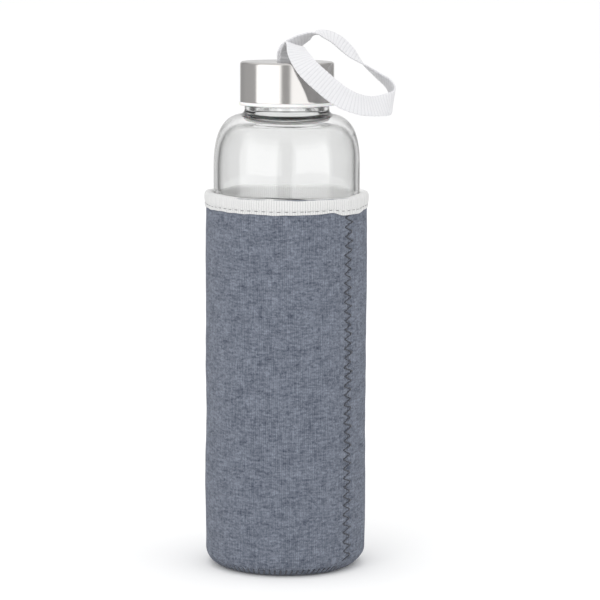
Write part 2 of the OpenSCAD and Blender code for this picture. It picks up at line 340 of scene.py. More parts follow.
# heather: dark and light fibres in clouds, in short streaks along the courses, in specks and
# in faint lines up the wales
def makeHeatherGroup():
    tree, source, sink = newGroup(
        "heatherFibres", [("Vector", "Vector"), ("Dark", "Color"), ("Light", "Color")],
        [("Color", "Color"), ("Shade", "Float")])
    at = source.outputs["Vector"]
    layers = [  # scale, detail, roughness, low, high, share
        ((120.0, 230.0, 120.0), 3.0, 0.6, 0.34, 0.66, 0.20),
        ((330.0, 950.0, 330.0), 2.0, 0.6, 0.32, 0.66, 0.31),
        ((1250.0, 1100.0, 1250.0), 2.0, 0.7, 0.32, 0.68, 0.31),
        ((1150.0, 150.0, 1150.0), 1.0, 0.5, 0.3, 0.7, 0.18),
    ]
    shade = 0.0
    for scale, detail, rough, low, high, share in layers:
        grain = noise(tree, scaled(tree, at, scale), 1.0, detail, rough)
        shade = calc(tree, "ADD", shade, calc(tree, "MULTIPLY", remap(tree, grain, low, high),
                                              share))
    tree.links.new(shade, sink.inputs["Shade"])
    colour = blendColour(tree, remap(tree, shade, 0.12, 0.88), source.outputs["Dark"],
                         source.outputs["Light"])
    tree.links.new(colour, sink.inputs["Color"])
    return tree


# yarn: plies wind round the thread, so ridges slant across both of its coordinates
def makeYarnGroup():
    tree, source, sink = newGroup("twistedYarn", [("Vector", "Vector"), ("Turns", "Float")],
                                  [("Height", "Float")])
    split = put(tree, "ShaderNodeSeparateXYZ", {0: source.outputs["Vector"]})
    wind = calc(tree, "ADD", calc(tree, "MULTIPLY", split.outputs[0], 2.0),
                calc(tree, "MULTIPLY", split.outputs[1], source.outputs["Turns"]))
    ridge = calc(tree, "SINE", calc(tree, "MULTIPLY", wind, 2 * math.pi))
    tree.links.new(remap(tree, ridge, -1.0, 1.0), sink.inputs["Height"])
    return tree


# weave: fine warp threads along the tape, crossed by weft ribs
def makeWeaveGroup():
    tree, source, sink = newGroup(
        "tapeWeave", [("Vector", "Vector"), ("Rib", "Float"), ("Warp", "Float")],
        [("Height", "Float"), ("Line", "Float")])
    split = put(tree, "ShaderNodeSeparateXYZ", {0: source.outputs["Vector"]})
    across = calc(tree, "DIVIDE", split.outputs[0], source.outputs["Rib"])
    along = calc(tree, "DIVIDE", split.outputs[1], source.outputs["Warp"])
    rib = calc(tree, "ABSOLUTE", calc(tree, "SINE", calc(tree, "MULTIPLY", across, math.pi)))
    offset = calc(tree, "MULTIPLY", calc(tree, "FLOOR", across), 0.5)
    warp = calc(tree, "ABSOLUTE", calc(tree, "SINE", calc(
        tree, "MULTIPLY", calc(tree, "ADD", along, offset), math.pi)))
    height = calc(tree, "ADD", calc(tree, "MULTIPLY", rib, 0.6), calc(tree, "MULTIPLY", warp, 0.4))
    tree.links.new(height, sink.inputs["Height"])
    # Line is 1 in the grooves between ribs, where the tape materials paint shade
    tree.links.new(remap(tree, rib, 0.35, 0.0), sink.inputs["Line"])
    return tree


# brushing: long fine scratches that run round the cap
def makeBrushGroup():
    tree, source, sink = newGroup("brushedLines", [("Vector", "Vector")],
                                  [("Height", "Float"), ("Rough", "Float"), ("Tint", "Float")])
    at = source.outputs["Vector"]
    fine = noise(tree, scaled(tree, at, (55.0, 14000.0, 1.0)), 1.0, 2.0, 0.6)
    broad = noise(tree, scaled(tree, at, (25.0, 2600.0, 1.0)), 1.0, 2.0, 0.6)
    smudge = noise(tree, scaled(tree, at, (90.0, 90.0, 1.0)), 1.0, 3.0, 0.55)
    tree.links.new(calc(tree, "ADD", calc(tree, "MULTIPLY", fine, 0.6),
                        calc(tree, "MULTIPLY", broad, 0.4)), sink.inputs["Height"])
    rough = calc(tree, "ADD", remap(tree, fine, 0.3, 0.7, 0.0, 0.04),
                 remap(tree, smudge, 0.3, 0.75, 0.09, 0.15))
    tree.links.new(rough, sink.inputs["Rough"])
    tree.links.new(remap(tree, broad, 0.3, 0.7, 0.94, 1.0), sink.inputs["Tint"])
    return tree


knitLoops = makeKnitGroup()
heatherFibres = makeHeatherGroup()
twistedYarn = makeYarnGroup()
tapeWeave = makeWeaveGroup()
brushedLines = makeBrushGroup()
print("node groups made")


def makeGlass():
    material, tree, shader = newMaterial("clearGlass")
    film = noise(tree, objectVector(tree), 35.0, 3.0, 0.5)
    sway = noise(tree, objectVector(tree), 14.0, 1.0, 0.5)
    # painted shade: a wall seen edge on is given a darker base colour, standing in for the dark
    # surroundings that the rims refract
    edge = put(tree, "ShaderNodeLayerWeight", {"Blend": 0.5}).outputs["Facing"]
    setSockets(tree, shader, {
        "Base Color": blendColour(tree, remap(tree, edge, 0.62, 0.88), (0.915, 0.918, 0.916, 1),
                                  (0.32, 0.32, 0.315, 1)), "IOR": 1.5, "Transmission Weight": 1.0,
        "Metallic": 0.0, "Roughness": remap(tree, film, 0.6, 0.9, 0.0, 0.01),
        "Normal": bumpNormal(tree, sway, 0.0003, 0.2)})
    # lamps light what is behind the glass, so the sleeve's mouth isn't in the dark
    clear = put(tree, "ShaderNodeBsdfTransparent", {"Color": (1.46, 1.46, 1.46, 1)})
    path = put(tree, "ShaderNodeLightPath")
    both = put(tree, "ShaderNodeMixShader", {0: path.outputs["Is Shadow Ray"],
                                             1: shader.outputs[0], 2: clear.outputs[0]})
    tree.links.new(both.outputs[0], tree.nodes["Material Output"].inputs["Surface"])
    return material


def makeSteel(name, vector):
    material, tree, shader = newMaterial(name)
    lines = useGroup(tree, brushedLines, {"Vector": vector(tree)})
    setSockets(tree, shader, {
        "Base Color": blendColour(tree, lines["Tint"], (0.40, 0.39, 0.38, 1),
                                  (0.60, 0.585, 0.57, 1)),
        "Metallic": 1.0, "Roughness": lines["Rough"], "Anisotropic": 0.3,
        "Normal": bumpNormal(tree, lines["Height"], 0.000012, 0.5)})
    return material


def makePlastic():
    material, tree, shader = newMaterial("whitePlastic")
    grain = noise(tree, objectVector(tree), 2600.0, 2.0)
    haze = noise(tree, objectVector(tree), 120.0, 3.0)
    setSockets(tree, shader, {
        "Base Color": blendColour(tree, remap(tree, haze, 0.3, 0.7), (0.86, 0.86, 0.85, 1),
                                  (0.9, 0.9, 0.89, 1)),
        "Roughness": remap(tree, haze, 0.3, 0.7, 0.28, 0.4), "Subsurface Weight": 0.15,
        "Subsurface Scale": 0.002, "Normal": bumpNormal(tree, grain, 0.00002, 0.4)})
    return material


def makeSilicone():
    material, tree, shader = newMaterial("silicone")
    haze = noise(tree, objectVector(tree), 400.0, 3.0)
    setSockets(tree, shader, {
        "Base Color": (0.82, 0.82, 0.8, 1), "Roughness": remap(tree, haze, 0.3, 0.7, 0.4, 0.6),
        "Subsurface Weight": 0.3, "Subsurface Scale": 0.002,
        "Normal": bumpNormal(tree, haze, 0.00003, 0.4)})
    return material


def makeKnit(name, dark, light, wale, course, vector):
    material, tree, shader = newMaterial(name)
    at = vector(tree)
    loops = useGroup(tree, knitLoops, {"Vector": at, "Wale": wale, "Course": course})
    fibres = useGroup(tree, heatherFibres, {"Vector": at, "Dark": dark, "Light": light})
    fuzz = noise(tree, scaled(tree, at, (5200.0, 2600.0, 5200.0)), 1.0, 2.0, 0.7)
    # painted shade: the gaps between loops are darkened towards a deeper tone of the dark fibres
    gapShade = calc(tree, "MULTIPLY", loops["Gap"], 0.6)
    colour = blendColour(tree, gapShade, fibres["Color"], tuple(0.45 * c for c in dark[:3]) + (1,))
    height = calc(tree, "ADD", loops["Height"], calc(tree, "MULTIPLY", fuzz, 0.5))
    setSockets(tree, shader, {
        "Base Color": colour, "Roughness": 0.88, "Specular IOR Level": 0.18,
        "Sheen Weight": 0.06, "Sheen Roughness": 0.45,
        "Normal": bumpNormal(tree, height, 0.00022, 0.75)})
    return material


def makeWeave(name, colour, line, rib, warp, depth, glow, vector):
    material, tree, shader = newMaterial(name)
    at = vector(tree)
    weave = useGroup(tree, tapeWeave, {"Vector": at, "Rib": rib, "Warp": warp})
    fuzz = noise(tree, scaled(tree, at, (3000.0, 3000.0, 3000.0)), 1.0, 2.0, 0.6)
    # painted shade: the tape is blended towards its line colour in the grooves between ribs, and
    # the fuzz adds random tone
    shade = calc(tree, "ADD", calc(tree, "MULTIPLY", weave["Line"], 0.7),
                 remap(tree, fuzz, 0.35, 0.75, 0.0, 0.3))
    height = calc(tree, "ADD", weave["Height"], calc(tree, "MULTIPLY", fuzz, 0.35))
    setSockets(tree, shader, {
        "Base Color": blendColour(tree, shade, colour, line), "Roughness": 0.7,
        "Specular IOR Level": 0.3, "Sheen Weight": 0.15, "Sheen Roughness": 0.35,
        "Subsurface Weight": glow, "Subsurface Scale": 0.002, "Subsurface Radius": (1, 1, 1),
        "Normal": bumpNormal(tree, height, depth, 0.7)})
    return material


def makeThread(name, dark, light, vector):
    material, tree, shader = newMaterial(name)
    at = vector(tree)
    twist = useGroup(tree, twistedYarn, {"Vector": at, "Turns": 5.0})
    # painted shade: the thread's colour runs from dark in the grooves between plies to light on
    # their ridges
    setSockets(tree, shader, {
        "Base Color": blendColour(tree, twist["Height"], dark, light), "Roughness": 0.6,
        "Sheen Weight": 0.2, "Normal": bumpNormal(tree, twist["Height"], 0.00008, 0.7)})
    return material


def makeFoam():
    material, tree, shader = newMaterial("foamRubber")
    cells = put(tree, "ShaderNodeTexVoronoi", {"Vector": objectVector(tree), "Scale": 2200.0})
    # painted shade: each cell's middle, which the bump sinks into a pit, is darker than its rim
    setSockets(tree, shader, {
        "Base Color": blendColour(tree, cells.outputs[0], (0.012, 0.012, 0.014, 1),
                                  (0.045, 0.045, 0.05, 1)),
        "Roughness": 0.9, "Normal": bumpNormal(tree, cells.outputs[0], 0.0001, 0.6)})
    return material


heatherDark = (0.05, 0.061, 0.09, 1)
heatherLight = (0.30, 0.33, 0.395, 1)
clearGlass = makeGlass()
brushedSteel = makeSteel("brushedSteel", flowVector)
pinSteel = makeSteel("pinSteel", objectVector)
whitePlastic = makePlastic()
silicone = makeSilicone()
heatherKnit = makeKnit("heatherKnit", heatherDark, heatherLight, 0.00088, 0.00066, flowVector)
liningKnit = makeKnit("liningKnit", (0.66, 0.66, 0.66, 1), (0.82, 0.82, 0.82, 1), 0.0008,
                      0.0006, flowVector)
# each tape's second colour is the painted shade in the grooves between its ribs
bindingTape = makeWeave("bindingTape", (0.755, 0.755, 0.75, 1), (0.36, 0.36, 0.365, 1), 0.0011,
                        0.0006, 0.0003, 0.05, flowVector)
whiteRibbon = makeWeave("whiteRibbon", (0.70, 0.70, 0.715, 1), (0.50, 0.50, 0.52, 1), 0.00155,
                        0.00045, 0.00006, 0.15, crossVector)
darkThread = makeThread("darkThread", (0.012, 0.014, 0.02, 1), (0.055, 0.062, 0.085, 1), flowVector)
greyThread = makeThread("greyThread", (0.13, 0.13, 0.135, 1), (0.3, 0.3, 0.305, 1), flowVector)
tackThread = makeThread("tackThread", (0.6, 0.6, 0.6, 1), (0.8, 0.8, 0.8, 1), objectVector)
foamRubber = makeFoam()
print("materials made")


def dress(piece, material, node, body):
    piece.data.materials.append(material)
    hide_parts(*([node] if isinstance(node, str) else node))
    if body:
        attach(piece, body)
    return piece


for nodeName, plain in (("strap_pin", pinSteel), ("strap_bartack", tackThread),
                        ("base_foam", foamRubber)):
    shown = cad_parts[nodeName].data
    shown.materials.clear()
    shown.materials.append(plain)

glass = {
    "wall": 2.2 * mm, "heel": 6 * mm, "puntR": 20 * mm, "puntH": 2 * mm, "floor": 5 * mm,
    "shoulderIn": 17 * mm, "shoulderH": 24.1 * mm, "power": 2.65, "beadR": 18.2 * mm,
    "shoulderDrop": 27.8 * mm, "shoulderThin": 2.6 * mm, "fillet": 2.2 * mm,
    "beadDrop": 10.9 * mm, "threadUp": 2.4 * mm, "neckR": 16.6 * mm, "boreR": 14.2 * mm,
    "lip": 0.8 * mm,
    "threadR": 18 * mm, "pitch": 4 * mm, "turns": 1.5, "columns": 240,
}


def shoulderCurve(outer, inner, base, height, last, count):
    # quarter of a superellipse from the body's side up to the shoulder's top
    a = np.linspace(0, last * deg, count)
    power = 2 / glass["power"]
    return np.stack([inner + (outer - inner) * np.cos(a) ** power,
                     base + height * np.sin(a) ** power], -1)


def threadRise(bearing, z, start, startTurn, tipHalf, rootHalf):
    # how far a helical ridge stands out, from 0 to 1, with both ends faded
    around = ((bearing - 90 * deg - startTurn) / (2 * math.pi)) % 1
    rise = 0 * z * bearing
    for k in (0, 1):
        turn = around + k
        gap = np.abs(z - (start + glass["pitch"] * turn))
        fade = step01(turn, 0, 0.1) * (1 - step01(turn, glass["turns"] - 0.1, glass["turns"]))
        rise = np.maximum(rise, (1 - step01(gap, tipHalf, rootHalf)) * fade)
    return rise


def makeGlassBottle(s):
    # outside profile from the punt up to the lip, then the bore and the inside down to the floor
    foot, mouth = glassLow.z, glassHigh.z
    beadTop = mouth - s["beadDrop"]
    shoulderZ = beadTop - s["shoulderDrop"]
    shoulderTop = shoulderZ + s["shoulderH"]
    innerR = glassR - s["wall"]
    innerTop = shoulderTop - s["shoulderThin"]
    rr = np.linspace(0.02, 1, 12)
    punt = np.stack([s["puntR"] * rr, foot + s["puntH"] * (1 - rr ** 2)], -1)
    outside = np.vstack([
        punt, arcPoints((glassR - s["heel"], foot + s["heel"]), s["heel"], -90, 0, 12),
        resample(np.array([[glassR, foot + s["heel"]], [glassR, shoulderZ]]), 4 * mm)[1:-1],
        shoulderCurve(glassR, s["shoulderIn"], shoulderZ, s["shoulderH"], 82, 44),
        arcPoints((s["beadR"] + s["fillet"], shoulderTop + s["fillet"] - 0.15 * mm), s["fillet"],
                  260, 180, 9),
        arcPoints((s["beadR"] - 0.4 * mm, beadTop - 0.4 * mm), 0.4 * mm, 0, 90, 5)])
    neck = resample(np.array([[s["neckR"] + 0.25 * mm, beadTop], [s["neckR"], beadTop + 0.25 * mm],
                              [s["neckR"], mouth - s["lip"]]]), 0.16 * mm)
    lip = np.vstack([arcPoints((s["neckR"] - s["lip"], mouth - s["lip"]), s["lip"], 5, 90, 6),
                     arcPoints((s["boreR"] + s["lip"], mouth - s["lip"]), s["lip"], 90, 180, 6)])
    bore = np.array([[s["boreR"], mouth - 4 * mm], [s["boreR"], mouth - 10 * mm],
                     [s["boreR"], innerTop + 2.2 * mm],
                     [s["boreR"] + 0.15 * mm, innerTop + 1.4 * mm],
                     [s["boreR"] + 0.5 * mm, innerTop + 0.7 * mm]])
    inner = shoulderCurve(innerR, s["boreR"] + 1.6 * mm, shoulderZ, innerTop - shoulderZ, 88,
                          40)[::-1]
    wall = resample(np.array([[innerR, shoulderZ],
                              [innerR, foot + s["floor"] + s["heel"]]]), 4 * mm)[1:-1]
    heel = arcPoints((innerR - s["heel"], foot + s["floor"] + s["heel"]), s["heel"], 0, -90, 10)
    floor = np.stack([(innerR - s["heel"]) * np.linspace(0.9, 0.02, 10),
                      np.full(10, foot + s["floor"])], -1)
    profile = np.vstack([outside, neck, lip, bore, inner, wall, heel, floor])

    def radial(r, z, b):
        on = (z > beadTop) & (np.abs(r - s["neckR"]) < 0.3 * mm)
        ridge = threadRise(b, z, beadTop + s["threadUp"], 0, 0.6 * mm, 1.3 * mm)
        body = step01(r, 20 * mm, 26 * mm)
        wave = ripple(b, z, 5, 30, 7, 11) * 0.035 * mm * body
        inside = (r < innerR + 0.1 * mm) * ripple(b, z, 7, 40, 7, 12) * 0.05 * mm * body
        return on * ridge * (s["threadR"] - s["neckR"]) + wave + inside

    return lathe("glassBottle", profile, ringBearings(s["columns"]), glassR, radial, poles=True)


dress(makeGlassBottle(glass), clearGlass, "glass_bottle", "bottle")
print("glass bottle made")

cap = {
    "sheet": 0.5 * mm, "edge": 1.2 * mm, "slotL": 10.8 * mm, "slotW": 2.9 * mm,
    "slotRound": 0.16 * mm, "hem": 0.12 * mm, "innerRound": 0.7 * mm, "columns": 256,
}


def slotRing(bearing, l, w, height):
    # slot outline, with one point for each bearing, stepped off by length
    a = np.linspace(0, 2 * math.pi, 2001)
    half = (l - w) / 2
    across = np.sin(a)
    along = np.cos(a)
    x = along * w / 2 + half * np.sign(along) * (np.abs(along) > 1e-9)
    y = across * w / 2
    line = np.stack([x, y], -1)
    run = lengthAlong(line)
    angle = (bearing - 90 * deg - slotTurn) % (2 * math.pi)
    want = angle / (2 * math.pi) * run[-1]
    px, py = np.interp(want, run, line[:, 0]), np.interp(want, run, line[:, 1])
    c, s = math.cos(slotTurn), math.sin(slotTurn)
    return np.stack([px * c - py * s, px * s + py * c, 0 * px + height], -1)


def makeSteelCap(s):
    # rings up the side and over the edge, blended into the slot's outline, then down the inside
    bearing = ringBearings(s["columns"])
    r, low, top = shellHigh.x, shellLow.z, shellHigh.z
    inner = r - s["sheet"]
    edge, rim, hem, bend = s["edge"], s["slotRound"], s["hem"], s["innerRound"]
    rows = []
    length = []

    def ring(radius, z, run):
        rows.append(turned(radius + 0 * bearing, z, bearing))
        length.append(run)

    for z in np.linspace(low + hem, top - edge, 22):
        ring(r, z, z - low)
    run = top - edge - low
    for a in np.linspace(8, 90, 12) * deg:
        ring(r - edge + edge * math.cos(a), top - edge + edge * math.sin(a), run + edge * a)
    run += edge * math.pi / 2
    flat = r - edge
    for t in np.linspace(0.08, 0.94, 22):
        outer = turned(flat + 0 * bearing, top, bearing)
        hole = slotRing(bearing, s["slotL"] + 2 * rim, s["slotW"] + 2 * rim, top)
        rows.append(outer * (1 - t) + hole * t)
        length.append(run + flat * t)
    for a in np.linspace(0, 90, 5) * deg:
        grow = 2 * rim * (1 - math.sin(a))
        rows.append(slotRing(bearing, s["slotL"] + grow, s["slotW"] + grow,
                             top - rim * (1 - math.cos(a))))
        length.append(run + flat + rim * a)
    run += flat + rim
    for z in (top - 0.3 * mm, top - s["sheet"]):
        rows.append(slotRing(bearing, s["slotL"], s["slotW"], z))
        length.append(run + top - z)
    for t in np.linspace(0.1, 1, 8):
        outer = turned(inner - bend + 0 * bearing, top - s["sheet"], bearing)
        hole = slotRing(bearing, s["slotL"], s["slotW"], top - s["sheet"])
        rows.append(outer * t + hole * (1 - t))
        length.append(run + flat * t)
    run += flat
    for a in np.linspace(70, 0, 4) * deg:
        ring(inner - bend + bend * math.cos(a), top - s["sheet"] - bend + bend * math.sin(a), run)
    for z in (top - 6 * mm, low + hem):
        ring(inner, z, run + top - z)
    for a in np.linspace(200, 340, 5) * deg:
        ring(r - s["sheet"] / 2 + s["sheet"] / 2 * math.cos(a), low + hem * (1 + math.sin(a)),
             run + 0.02)
    grid = np.array(rows)
    grid[:22] += (np.array([1, 1, 0]) * grid[:22] / r
                  * (ripple(bearing, 0, 6, 0, 5, 21)[None, :, None] * 0.012 * mm))
    u = np.append(bearing, bearing[0] + 2 * math.pi) * r
    return gridPiece("steelCap", grid, u, np.append(length, length[-1] + 0.0002), wrapRows=True)


dress(makeSteelCap(cap), brushedSteel, "cap_shell", "cap")

liner = {
    "bodyR": 19.65 * mm, "rimR": 20.7 * mm, "boreR": 18.3 * mm, "cupR": 17.55 * mm,
    "plateZ": 1.2 * mm, "plateT": 1.5 * mm, "threadR": 17 * mm, "threadTurn": 200 * deg,
    "round": 0.35 * mm, "columns": 224,
    "wellL": 12.4 * mm, "wellW": 5 * mm, "wellWall": 1.2 * mm, "restT": 0.6 * mm,
}


def makeCapLiner(s):
    # closed profile: rim, outside, cup above the plate, then the threaded bore below it
    low, top = linerLow.z, linerHigh.z
    mouth = glassHigh.z
    plate = mouth + s["plateZ"]
    k = s["round"]
    profile = np.vstack([
        arcPoints((s["boreR"] + k, low + k), k, 180, 270, 5),
        arcPoints((s["rimR"] - 0.5 * mm, low + 0.5 * mm), 0.5 * mm, -90, 0, 7),
        arcPoints((s["rimR"] - k, shellLow.z - k - 0.02 * mm), k, 0, 90, 6),
        [[s["bodyR"], shellLow.z], [s["bodyR"], top - 1 * mm], [s["bodyR"] - 0.9 * mm, top]],
        [[s["cupR"] + 0.2 * mm, top], [s["cupR"], top - 0.2 * mm]],
        [[s["cupR"], plate + s["plateT"] + 0.3 * mm],
         [s["cupR"] - 0.3 * mm, plate + s["plateT"]], [0.01 * mm, plate + s["plateT"]]]])
    under = np.vstack([[[0.01 * mm, plate]], [[s["boreR"] - 0.3 * mm, plate]],
                       [[s["boreR"], plate - 0.3 * mm]]])
    bore = resample(np.array([[s["boreR"], plate - 0.5 * mm], [s["boreR"], low + k]]), 0.18 * mm)
    profile = np.vstack([profile, under, bore[:-1]])
    start = mouth - glass["beadDrop"] + glass["threadUp"] - glass["pitch"] / 2

    def radial(r, z, b):
        on = (np.abs(r - s["boreR"]) < 1e-6) & (z < plate)
        ridge = threadRise(b, z, start + glass["pitch"] * s["threadTurn"] / (2 * math.pi),
                           s["threadTurn"], 0.5 * mm, 1.2 * mm)
        return on * ridge * (s["threadR"] - s["boreR"])

    return lathe("capLiner", profile, ringBearings(s["columns"]), s["rimR"], radial)


def addCradle(piece, s):
    # two walls beside the slot and two rests under the pin, each a plain block on the plate
    plate = glassHigh.z + s["plateZ"] + s["plateT"]
    h = pinZ - plate
    wallY = (s["wellW"] + s["wellWall"]) / 2
    blocks = [((0, side * wallY, plate + (h + 2.2 * mm) / 2 - 0.1 * mm),
               (s["wellL"], s["wellWall"], h + 2.4 * mm)) for side in (-1, 1)]
    blocks += [((side * 6 * mm, 0, plate + (h - 1 * mm) / 2 - 0.1 * mm),
                (s["restT"], s["wellW"], h - 0.8 * mm)) for side in (-1, 1)]
    corners = np.array([[x, y, z] for z in (-1, 1) for y in (-1, 1) for x in (-1, 1)]) / 2
    sides = [[0, 2, 3, 1], [4, 5, 7, 6], [0, 1, 5, 4], [2, 6, 7, 3], [0, 4, 6, 2], [1, 3, 7, 5]]
    turn = np.array([[math.cos(slotTurn), math.sin(slotTurn), 0],
                     [-math.sin(slotTurn), math.cos(slotTurn), 0], [0, 0, 1]])
    mesh = piece.data
    old = np.zeros(len(mesh.vertices) * 3)
    mesh.vertices.foreach_get("co", old)
    points = [old.reshape(-1, 3)]
    faces = [list(p.vertices) for p in mesh.polygons]
    count = len(points[0])
    for centre, size in blocks:
        points.append((corners * size + centre) @ turn)
        faces += [[i + count for i in f] for f in sides]
        count += 8
    return np.vstack(points), faces


linerPiece = makeCapLiner(liner)
linerPoints, linerFaces = addCradle(linerPiece, liner)
bpy.data.objects.remove(linerPiece)
capLiner = dress(addMesh("capLiner", linerPoints, linerFaces), whitePlastic, "cap_liner", "cap")
smoothFlags = np.ones(len(linerFaces), bool)
smoothFlags[-24:] = False  # the four blocks keep flat faces
capLiner.data.polygons.foreach_set("use_smooth", smoothFlags)


def makeSealRing():
    # flat washer with rounded edges, whose top stays just clear of the liner's plate
    r, top = sealHigh.x, sealHigh.z - 0.03 * mm
    inner = 12.6 * mm
    k = 0.3 * mm
    middles = ((r - k, sealLow.z + k), (r - k, top - k), (inner + k, top - k),
               (inner + k, sealLow.z + k))
    profile = np.vstack([arcPoints(middle, k, 90 * i - 90, 90 * i, 5)
                         for i, middle in enumerate(middles)])
    return lathe("sealRing", profile, ringBearings(160), r)


dress(makeSealRing(), silicone, "cap_seal", "seal")
print("cap made")

strap = {
    "width": 9.4 * mm, "thick": 0.8 * mm, "wrapR": 1.45 * mm, "plyGap": 0.5 * mm,
    "step": 0.28 * mm, "rib": 1.55 * mm, "ribDepth": 0.085 * mm,
    # heights above the cap's top, in millimetres, then the direction of the ribbon's width
    "route": [
        ((0.5, -0.55, 1.3), (0.85, 0.53, 0)),
        ((0.7, -0.7, 3.2), (0.85, 0.53, 0)),
        ((1.4, -2.1, 5.4), (0.85, 0.52, -0.05)),
        ((2.9, -5.2, 7.1), (0.76, 0.6, -0.26)),
        ((3.9, -10.2, 6.6), (0.8, 0.54, -0.2)),
        ((4.9, -16.6, 3.5), (0.9, 0.34, 0.15)),
        ((8.4, -22.4, -1.6), (0.8, 0.2, 0.5)),
        ((15, -24.6, -7.7), (0.7, 0.1, 0.7)),
        ((22, -24.5, -13.2), (0.6, 0.25, 0.76)),
        ((29.5, -22.5, -16.7), (0.35, 0.5, 0.8)),
        ((37, -17, -18), (0.05, 0.6, 0.8)),
        ((43.5, -10.5, -17.3), (0.1, 0.3, 0.9)),
        ((45.5, -3, -14.9), (0.15, -0.3, 0.95)),
        ((43.6, 3, -10), (0.1, -0.85, 0.45)),
        ((38.2, 6.5, -5.5), (0.12, -0.97, 0.2)),
        ((32.5, 8, -1.1), (0, -1, 0)),
        ((27, 8, 4.1), (-0.3, -0.88, -0.3)),
        ((20.5, 7.5, 9.5), (-0.3, -0.9, -0.35)),
        ((14, 6, 11.7), (-0.1, -0.96, -0.2)),
        ((9.2, 4.8, 10.4), (-0.2, -0.93, 0.3)),
        ((5.5, 3.8, 8.7), (-0.42, -0.84, 0.3)),
        ((2.5, 2.4, 6.7), (-0.6, -0.76, 0.15)),
        ((0.4, 1.1, 4.6), (-0.76, -0.64, 0.05)),
        ((-0.3, 0.55, 2.9), (-0.85, -0.53, 0)),
        ((-0.3, 0.5, 1.3), (-0.85, -0.53, 0)),
    ],
}


def curveThrough(p, perSpan):
    # smooth curve through a list of points, with perSpan pieces between each two
    p = np.vstack([2 * p[0] - p[1], p, 2 * p[-1] - p[-2]])
    t = (np.arange(perSpan) / perSpan)[None, :, None]
    a, b, c, d = (p[i:len(p) - 3 + i][:, None, :] for i in range(4))
    out = 0.5 * (2 * b + (c - a) * t + (2 * a - 5 * b + 4 * c - d) * t ** 2
                 + (3 * b - a - 3 * c + d) * t ** 3)
    return np.vstack([out.reshape(-1, p.shape[1]), p[-2:-1]])


def makeRibbon(s):
    # closed loop: round the pin, up through the slot, along the route and back down to the pin;
    # the section is carried along it, across the route's own widths
    across = np.array([math.cos(slotTurn), math.sin(slotTurn), 0])
    front = np.array([math.sin(slotTurn), -math.cos(slotTurn), 0])
    up = np.array([0, 0, 1])
    pin = np.array([0, 0, pinZ])
    route = np.array([a for a, w in s["route"]]) * mm + np.array([0, 0, capTop])
    widths = np.array([w for a, w in s["route"]])
    wrap = [pin + s["wrapR"] * (front * math.cos(a * deg) + up * math.sin(a * deg))
            for a in (-90, -60, -30, 0)]
    ply = [pin + front * 0.8 * mm + up * 1.5 * mm, pin + front * s["plyGap"] + up * 2.5 * mm]
    rear = [pin + s["wrapR"] * (-front * math.cos(a * deg) + up * math.sin(a * deg))
            for a in (0, -30, -60, -90)]
    down = [pin - front * s["plyGap"] + up * 2.5 * mm, pin - front * 0.8 * mm + up * 1.5 * mm]
    line = np.vstack([wrap, ply, route, down, rear])
    wide = np.vstack([np.tile(across, (6, 1)), widths, np.tile(-across, (6, 1))])
    fine = curveThrough(np.hstack([line, wide]), 40)
    run = lengthAlong(fine[:, :3])
    count = int(run[-1] / s["step"])
    at = np.arange(count) * run[-1] / count
    fine = np.stack([np.interp(at, run, fine[:, k]) for k in range(6)], -1)
    centre = fine[:, :3]
    along = np.roll(centre, -1, 0) - np.roll(centre, 1, 0)
    along /= np.linalg.norm(along, axis=1)[:, None]
    w = fine[:, 3:] - (fine[:, 3:] * along).sum(1)[:, None] * along
    w /= np.linalg.norm(w, axis=1)[:, None]
    h = np.cross(along, w)
    # section: a flat band with rounded edges, a slightly thicker selvedge and even ribs along it
    flat = np.linspace(-1, 1, 13)
    half, thick = s["width"] / 2, s["thick"] / 2
    edge = np.linspace(-90, 90, 5)[1:-1] * deg
    x = np.concatenate([flat * (half - thick), half - thick + thick * np.cos(edge),
                        -flat * (half - thick), -half + thick - thick * np.cos(edge)])
    y = np.concatenate([0 * flat - thick, thick * np.sin(edge), 0 * flat + thick,
                        -thick * np.sin(edge)])
    rib = 0.5 + 0.5 * np.cos(2 * math.pi * at / s["rib"])
    fade = step01(np.abs(x), half * 0.995, half * 0.8)[None, :]
    selvedge = bell(np.abs(x) - half * 0.88, 0.45 * mm)[None, :] * 0.035 * mm
    swell = (-s["ribDepth"] * rib[:, None] * (0.35 + 0.65 * fade) + selvedge) * np.sign(y)[None, :]
    sway = 0.05 * mm * np.cos(2 * math.pi * at / 2.1e-3)[:, None] * (np.abs(x) > half * 0.9)
    grid = (centre[:, None, :] + (x[None, :] + sway * np.sign(x))[..., None] * w[:, None, :]
            + (y[None, :] + swell)[..., None] * h[:, None, :])
    u = np.append(lengthAlong(np.stack([x, y], -1)), 2 * s["width"])
    piece = gridPiece("strapRibbon", grid, u, np.append(at, run[-1]), wrapRows=True,
                      shift=len(x) // 2)
    return piece


strapRibbon = dress(makeRibbon(strap), whiteRibbon, ("strap_tail", "wrist_strap"), None)
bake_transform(strapRibbon)
print("strap made")

sleeve = {
    "corner": 7.5 * mm, "thick": 0.55 * mm, "seamR": 27.2 * mm, "zigzag": 2.35 * mm,
    "period": 4 * mm, "zigzagLow": 5.6 * mm, "baseCount": 84, "baseTilt": (25, 52),
    "slant": 0.35, "stitches": 75, "seamColumns": 43, "columns": 400, "rowStep": 0.8 * mm,
    "foamSkin": 1.2 * mm,
}


def bearingGap(b, centre):
    # signed turn from centre to b, between minus and plus half a turn
    return (b - centre + math.pi) % (2 * math.pi) - math.pi


def sleeveBearings():
    # columns stand closer together near the side seam, where the stitches pull the cloth
    wide = np.linspace(9 * deg, 351 * deg, sleeve["columns"])
    near = np.linspace(-9 * deg, 9 * deg, sleeve["seamColumns"])[:-1]
    return seamBearing + np.concatenate([near, wide[:-1]])


def zigzagAt(z, s):
    # sideways place of the stitched line at each height: a triangle wave
    t = (z - s["zigzagLow"]) / s["period"]
    return s["zigzag"] * (4 * np.abs(t - np.floor(t + 0.5)) - 1)


